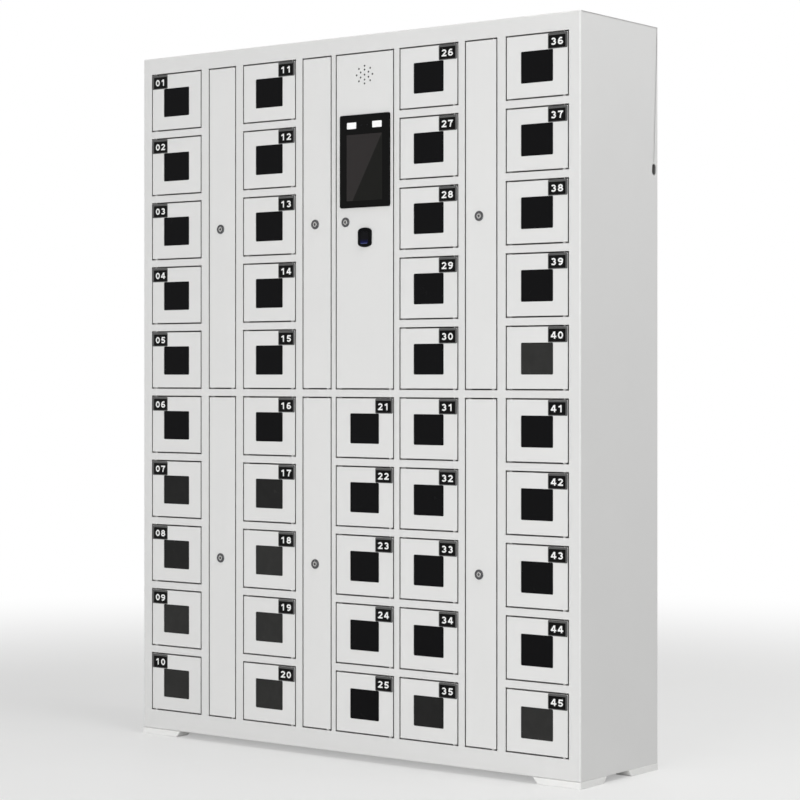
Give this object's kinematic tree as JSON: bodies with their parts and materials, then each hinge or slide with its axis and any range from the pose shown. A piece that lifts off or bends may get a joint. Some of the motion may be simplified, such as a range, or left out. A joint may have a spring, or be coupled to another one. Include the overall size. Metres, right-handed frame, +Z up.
{
  "type": "cell phone locker",
  "caption": "Sheet-steel phone locker with columns of small numbered windowed doors, narrow service doors and a control door with a face terminal.",
  "frame": {"origin": "on the floor under the middle of the overall box, which takes in the feet and what stands proud of the front", "axes": "+X to the right as seen from the front, -Y out of the front, +Z up"},
  "size_m": [1.402, 0.352, 1.816],
  "materials": {
    "body_paint": "fine textured powder coat, light grey",
    "door_paint": "fine textured powder coat, light grey",
    "inner_paint": "thin powder coat, light grey",
    "lock_case": "satin",
    "gear_case": "matte",
    "foot_plastic": "matte, off-white",
    "terminal_black": "gloss black"
  },
  "bodies": {
    "cabinet": {"casing": "body_paint", "back_panel": "body_paint", "front_frame": "body_paint", "cell_partitions": "inner_paint", "electric_locks": "lock_case", "control_gear": "gear_case", "corner_feet": "foot_plastic"},
    "cell_door_01": {"cell_door_01": "door_paint"},
    "cell_door_02": {"cell_door_02": "door_paint"},
    "cell_door_03": {"cell_door_03": "door_paint"},
    "cell_door_04": {"cell_door_04": "door_paint"},
    "cell_door_05": {"cell_door_05": "door_paint"},
    "cell_door_06": {"cell_door_06": "door_paint"},
    "cell_door_07": {"cell_door_07": "door_paint"},
    "cell_door_08": {"cell_door_08": "door_paint"},
    "cell_door_09": {"cell_door_09": "door_paint"},
    "cell_door_10": {"cell_door_10": "door_paint"},
    "service_door_1_upper": {"service_door_1_upper": "door_paint"},
    "service_door_1_lower": {"service_door_1_lower": "door_paint"},
    "cell_door_11": {"cell_door_11": "door_paint"},
    "cell_door_12": {"cell_door_12": "door_paint"},
    "cell_door_13": {"cell_door_13": "door_paint"},
    "cell_door_14": {"cell_door_14": "door_paint"},
    "cell_door_15": {"cell_door_15": "door_paint"},
    "cell_door_16": {"cell_door_16": "door_paint"},
    "cell_door_17": {"cell_door_17": "door_paint"},
    "cell_door_18": {"cell_door_18": "door_paint"},
    "cell_door_19": {"cell_door_19": "door_paint"},
    "cell_door_20": {"cell_door_20": "door_paint"},
    "service_door_2_upper": {"service_door_2_upper": "door_paint"},
    "service_door_2_lower": {"service_door_2_lower": "door_paint"},
    "control_door": {"control_door": "door_paint", "access_terminal": "terminal_black"},
    "cell_door_21": {"cell_door_21": "door_paint"},
    "cell_door_22": {"cell_door_22": "door_paint"},
    "cell_door_23": {"cell_door_23": "door_paint"},
    "cell_door_24": {"cell_door_24": "door_paint"},
    "cell_door_25": {"cell_door_25": "door_paint"},
    "cell_door_26": {"cell_door_26": "door_paint"},
    "cell_door_27": {"cell_door_27": "door_paint"},
    "cell_door_28": {"cell_door_28": "door_paint"},
    "cell_door_29": {"cell_door_29": "door_paint"},
    "cell_door_30": {"cell_door_30": "door_paint"},
    "cell_door_31": {"cell_door_31": "door_paint"},
    "cell_door_32": {"cell_door_32": "door_paint"},
    "cell_door_33": {"cell_door_33": "door_paint"},
    "cell_door_34": {"cell_door_34": "door_paint"},
    "cell_door_35": {"cell_door_35": "door_paint"},
    "service_door_3_upper": {"service_door_3_upper": "door_paint"},
    "service_door_3_lower": {"service_door_3_lower": "door_paint"},
    "cell_door_36": {"cell_door_36": "door_paint"},
    "cell_door_37": {"cell_door_37": "door_paint"},
    "cell_door_38": {"cell_door_38": "door_paint"},
    "cell_door_39": {"cell_door_39": "door_paint"},
    "cell_door_40": {"cell_door_40": "door_paint"},
    "cell_door_41": {"cell_door_41": "door_paint"},
    "cell_door_42": {"cell_door_42": "door_paint"},
    "cell_door_43": {"cell_door_43": "door_paint"},
    "cell_door_44": {"cell_door_44": "door_paint"},
    "cell_door_45": {"cell_door_45": "door_paint"}
  },
  "joints": [
    {"name": "cell_door_01_hinge", "type": "hinge", "parent": "cabinet", "child": "cell_door_01", "pos_m": [-0.65544, -0.164, 1.6955], "axis": [0, 0, -1], "range_deg": [0, 110]},
    {"name": "cell_door_02_hinge", "type": "hinge", "parent": "cabinet", "child": "cell_door_02", "pos_m": [-0.65544, -0.164, 1.5231], "axis": [0, 0, -1], "range_deg": [0, 110]},
    {"name": "cell_door_03_hinge", "type": "hinge", "parent": "cabinet", "child": "cell_door_03", "pos_m": [-0.65544, -0.164, 1.3507], "axis": [0, 0, -1], "range_deg": [0, 110]},
    {"name": "cell_door_04_hinge", "type": "hinge", "parent": "cabinet", "child": "cell_door_04", "pos_m": [-0.65544, -0.164, 1.1783], "axis": [0, 0, -1], "range_deg": [0, 110]},
    {"name": "cell_door_05_hinge", "type": "hinge", "parent": "cabinet", "child": "cell_door_05", "pos_m": [-0.65544, -0.164, 1.0059], "axis": [0, 0, -1], "range_deg": [0, 110]},
    {"name": "cell_door_06_hinge", "type": "hinge", "parent": "cabinet", "child": "cell_door_06", "pos_m": [-0.65544, -0.164, 0.8335], "axis": [0, 0, -1], "range_deg": [0, 110]},
    {"name": "cell_door_07_hinge", "type": "hinge", "parent": "cabinet", "child": "cell_door_07", "pos_m": [-0.65544, -0.164, 0.6611], "axis": [0, 0, -1], "range_deg": [0, 110]},
    {"name": "cell_door_08_hinge", "type": "hinge", "parent": "cabinet", "child": "cell_door_08", "pos_m": [-0.65544, -0.164, 0.4887], "axis": [0, 0, -1], "range_deg": [0, 110]},
    {"name": "cell_door_09_hinge", "type": "hinge", "parent": "cabinet", "child": "cell_door_09", "pos_m": [-0.65544, -0.164, 0.3163], "axis": [0, 0, -1], "range_deg": [0, 110]},
    {"name": "cell_door_10_hinge", "type": "hinge", "parent": "cabinet", "child": "cell_door_10", "pos_m": [-0.65544, -0.164, 0.1439], "axis": [0, 0, -1], "range_deg": [0, 110]},
    {"name": "service_door_1_upper_hinge", "type": "hinge", "parent": "cabinet", "child": "service_door_1_upper", "pos_m": [-0.38306, -0.164, 1.3507], "axis": [0, 0, 1], "range_deg": [0, 110]},
    {"name": "service_door_1_lower_hinge", "type": "hinge", "parent": "cabinet", "child": "service_door_1_lower", "pos_m": [-0.38306, -0.164, 0.4887], "axis": [0, 0, 1], "range_deg": [0, 110]},
    {"name": "cell_door_11_hinge", "type": "hinge", "parent": "cabinet", "child": "cell_door_11", "pos_m": [-0.17906, -0.164, 1.6955], "axis": [0, 0, 1], "range_deg": [0, 110]},
    {"name": "cell_door_12_hinge", "type": "hinge", "parent": "cabinet", "child": "cell_door_12", "pos_m": [-0.17906, -0.164, 1.5231], "axis": [0, 0, 1], "range_deg": [0, 110]},
    {"name": "cell_door_13_hinge", "type": "hinge", "parent": "cabinet", "child": "cell_door_13", "pos_m": [-0.17906, -0.164, 1.3507], "axis": [0, 0, 1], "range_deg": [0, 110]},
    {"name": "cell_door_14_hinge", "type": "hinge", "parent": "cabinet", "child": "cell_door_14", "pos_m": [-0.17906, -0.164, 1.1783], "axis": [0, 0, 1], "range_deg": [0, 110]},
    {"name": "cell_door_15_hinge", "type": "hinge", "parent": "cabinet", "child": "cell_door_15", "pos_m": [-0.17906, -0.164, 1.0059], "axis": [0, 0, 1], "range_deg": [0, 110]},
    {"name": "cell_door_16_hinge", "type": "hinge", "parent": "cabinet", "child": "cell_door_16", "pos_m": [-0.17906, -0.164, 0.8335], "axis": [0, 0, 1], "range_deg": [0, 110]},
    {"name": "cell_door_17_hinge", "type": "hinge", "parent": "cabinet", "child": "cell_door_17", "pos_m": [-0.17906, -0.164, 0.6611], "axis": [0, 0, 1], "range_deg": [0, 110]},
    {"name": "cell_door_18_hinge", "type": "hinge", "parent": "cabinet", "child": "cell_door_18", "pos_m": [-0.17906, -0.164, 0.4887], "axis": [0, 0, 1], "range_deg": [0, 110]},
    {"name": "cell_door_19_hinge", "type": "hinge", "parent": "cabinet", "child": "cell_door_19", "pos_m": [-0.17906, -0.164, 0.3163], "axis": [0, 0, 1], "range_deg": [0, 110]},
    {"name": "cell_door_20_hinge", "type": "hinge", "parent": "cabinet", "child": "cell_door_20", "pos_m": [-0.17906, -0.164, 0.1439], "axis": [0, 0, 1], "range_deg": [0, 110]},
    {"name": "service_door_2_upper_hinge", "type": "hinge", "parent": "cabinet", "child": "service_door_2_upper", "pos_m": [-0.06156, -0.164, 1.3507], "axis": [0, 0, 1], "range_deg": [0, 110]},
    {"name": "service_door_2_lower_hinge", "type": "hinge", "parent": "cabinet", "child": "service_door_2_lower", "pos_m": [-0.06156, -0.164, 0.4887], "axis": [0, 0, 1], "range_deg": [0, 110]},
    {"name": "control_door_hinge", "type": "hinge", "parent": "cabinet", "child": "control_door", "pos_m": [0.13744, -0.164, 1.3507], "axis": [0, 0, 1], "range_deg": [0, 110]},
    {"name": "cell_door_21_hinge", "type": "hinge", "parent": "cabinet", "child": "cell_door_21", "pos_m": [0.13744, -0.164, 0.8335], "axis": [0, 0, 1], "range_deg": [0, 110]},
    {"name": "cell_door_22_hinge", "type": "hinge", "parent": "cabinet", "child": "cell_door_22", "pos_m": [0.13744, -0.164, 0.6611], "axis": [0, 0, 1], "range_deg": [0, 110]},
    {"name": "cell_door_23_hinge", "type": "hinge", "parent": "cabinet", "child": "cell_door_23", "pos_m": [0.13744, -0.164, 0.4887], "axis": [0, 0, 1], "range_deg": [0, 110]},
    {"name": "cell_door_24_hinge", "type": "hinge", "parent": "cabinet", "child": "cell_door_24", "pos_m": [0.13744, -0.164, 0.3163], "axis": [0, 0, 1], "range_deg": [0, 110]},
    {"name": "cell_door_25_hinge", "type": "hinge", "parent": "cabinet", "child": "cell_door_25", "pos_m": [0.13744, -0.164, 0.1439], "axis": [0, 0, 1], "range_deg": [0, 110]},
    {"name": "cell_door_26_hinge", "type": "hinge", "parent": "cabinet", "child": "cell_door_26", "pos_m": [0.33394, -0.164, 1.6955], "axis": [0, 0, 1], "range_deg": [0, 110]},
    {"name": "cell_door_27_hinge", "type": "hinge", "parent": "cabinet", "child": "cell_door_27", "pos_m": [0.33394, -0.164, 1.5231], "axis": [0, 0, 1], "range_deg": [0, 110]},
    {"name": "cell_door_28_hinge", "type": "hinge", "parent": "cabinet", "child": "cell_door_28", "pos_m": [0.33394, -0.164, 1.3507], "axis": [0, 0, 1], "range_deg": [0, 110]},
    {"name": "cell_door_29_hinge", "type": "hinge", "parent": "cabinet", "child": "cell_door_29", "pos_m": [0.33394, -0.164, 1.1783], "axis": [0, 0, 1], "range_deg": [0, 110]},
    {"name": "cell_door_30_hinge", "type": "hinge", "parent": "cabinet", "child": "cell_door_30", "pos_m": [0.33394, -0.164, 1.0059], "axis": [0, 0, 1], "range_deg": [0, 110]},
    {"name": "cell_door_31_hinge", "type": "hinge", "parent": "cabinet", "child": "cell_door_31", "pos_m": [0.33394, -0.164, 0.8335], "axis": [0, 0, 1], "range_deg": [0, 110]},
    {"name": "cell_door_32_hinge", "type": "hinge", "parent": "cabinet", "child": "cell_door_32", "pos_m": [0.33394, -0.164, 0.6611], "axis": [0, 0, 1], "range_deg": [0, 110]},
    {"name": "cell_door_33_hinge", "type": "hinge", "parent": "cabinet", "child": "cell_door_33", "pos_m": [0.33394, -0.164, 0.4887], "axis": [0, 0, 1], "range_deg": [0, 110]},
    {"name": "cell_door_34_hinge", "type": "hinge", "parent": "cabinet", "child": "cell_door_34", "pos_m": [0.33394, -0.164, 0.3163], "axis": [0, 0, 1], "range_deg": [0, 110]},
    {"name": "cell_door_35_hinge", "type": "hinge", "parent": "cabinet", "child": "cell_door_35", "pos_m": [0.33394, -0.164, 0.1439], "axis": [0, 0, 1], "range_deg": [0, 110]},
    {"name": "service_door_3_upper_hinge", "type": "hinge", "parent": "cabinet", "child": "service_door_3_upper", "pos_m": [0.44894, -0.164, 1.3507], "axis": [0, 0, 1], "range_deg": [0, 110]},
    {"name": "service_door_3_lower_hinge", "type": "hinge", "parent": "cabinet", "child": "service_door_3_lower", "pos_m": [0.44894, -0.164, 0.4887], "axis": [0, 0, 1], "range_deg": [0, 110]},
    {"name": "cell_door_36_hinge", "type": "hinge", "parent": "cabinet", "child": "cell_door_36", "pos_m": [0.65294, -0.164, 1.6955], "axis": [0, 0, 1], "range_deg": [0, 110]},
    {"name": "cell_door_37_hinge", "type": "hinge", "parent": "cabinet", "child": "cell_door_37", "pos_m": [0.65294, -0.164, 1.5231], "axis": [0, 0, 1], "range_deg": [0, 110]},
    {"name": "cell_door_38_hinge", "type": "hinge", "parent": "cabinet", "child": "cell_door_38", "pos_m": [0.65294, -0.164, 1.3507], "axis": [0, 0, 1], "range_deg": [0, 110]},
    {"name": "cell_door_39_hinge", "type": "hinge", "parent": "cabinet", "child": "cell_door_39", "pos_m": [0.65294, -0.164, 1.1783], "axis": [0, 0, 1], "range_deg": [0, 110]},
    {"name": "cell_door_40_hinge", "type": "hinge", "parent": "cabinet", "child": "cell_door_40", "pos_m": [0.65294, -0.164, 1.0059], "axis": [0, 0, 1], "range_deg": [0, 110]},
    {"name": "cell_door_41_hinge", "type": "hinge", "parent": "cabinet", "child": "cell_door_41", "pos_m": [0.65294, -0.164, 0.8335], "axis": [0, 0, 1], "range_deg": [0, 110]},
    {"name": "cell_door_42_hinge", "type": "hinge", "parent": "cabinet", "child": "cell_door_42", "pos_m": [0.65294, -0.164, 0.6611], "axis": [0, 0, 1], "range_deg": [0, 110]},
    {"name": "cell_door_43_hinge", "type": "hinge", "parent": "cabinet", "child": "cell_door_43", "pos_m": [0.65294, -0.164, 0.4887], "axis": [0, 0, 1], "range_deg": [0, 110]},
    {"name": "cell_door_44_hinge", "type": "hinge", "parent": "cabinet", "child": "cell_door_44", "pos_m": [0.65294, -0.164, 0.3163], "axis": [0, 0, 1], "range_deg": [0, 110]},
    {"name": "cell_door_45_hinge", "type": "hinge", "parent": "cabinet", "child": "cell_door_45", "pos_m": [0.65294, -0.164, 0.1439], "axis": [0, 0, 1], "range_deg": [0, 110]}
  ]
}
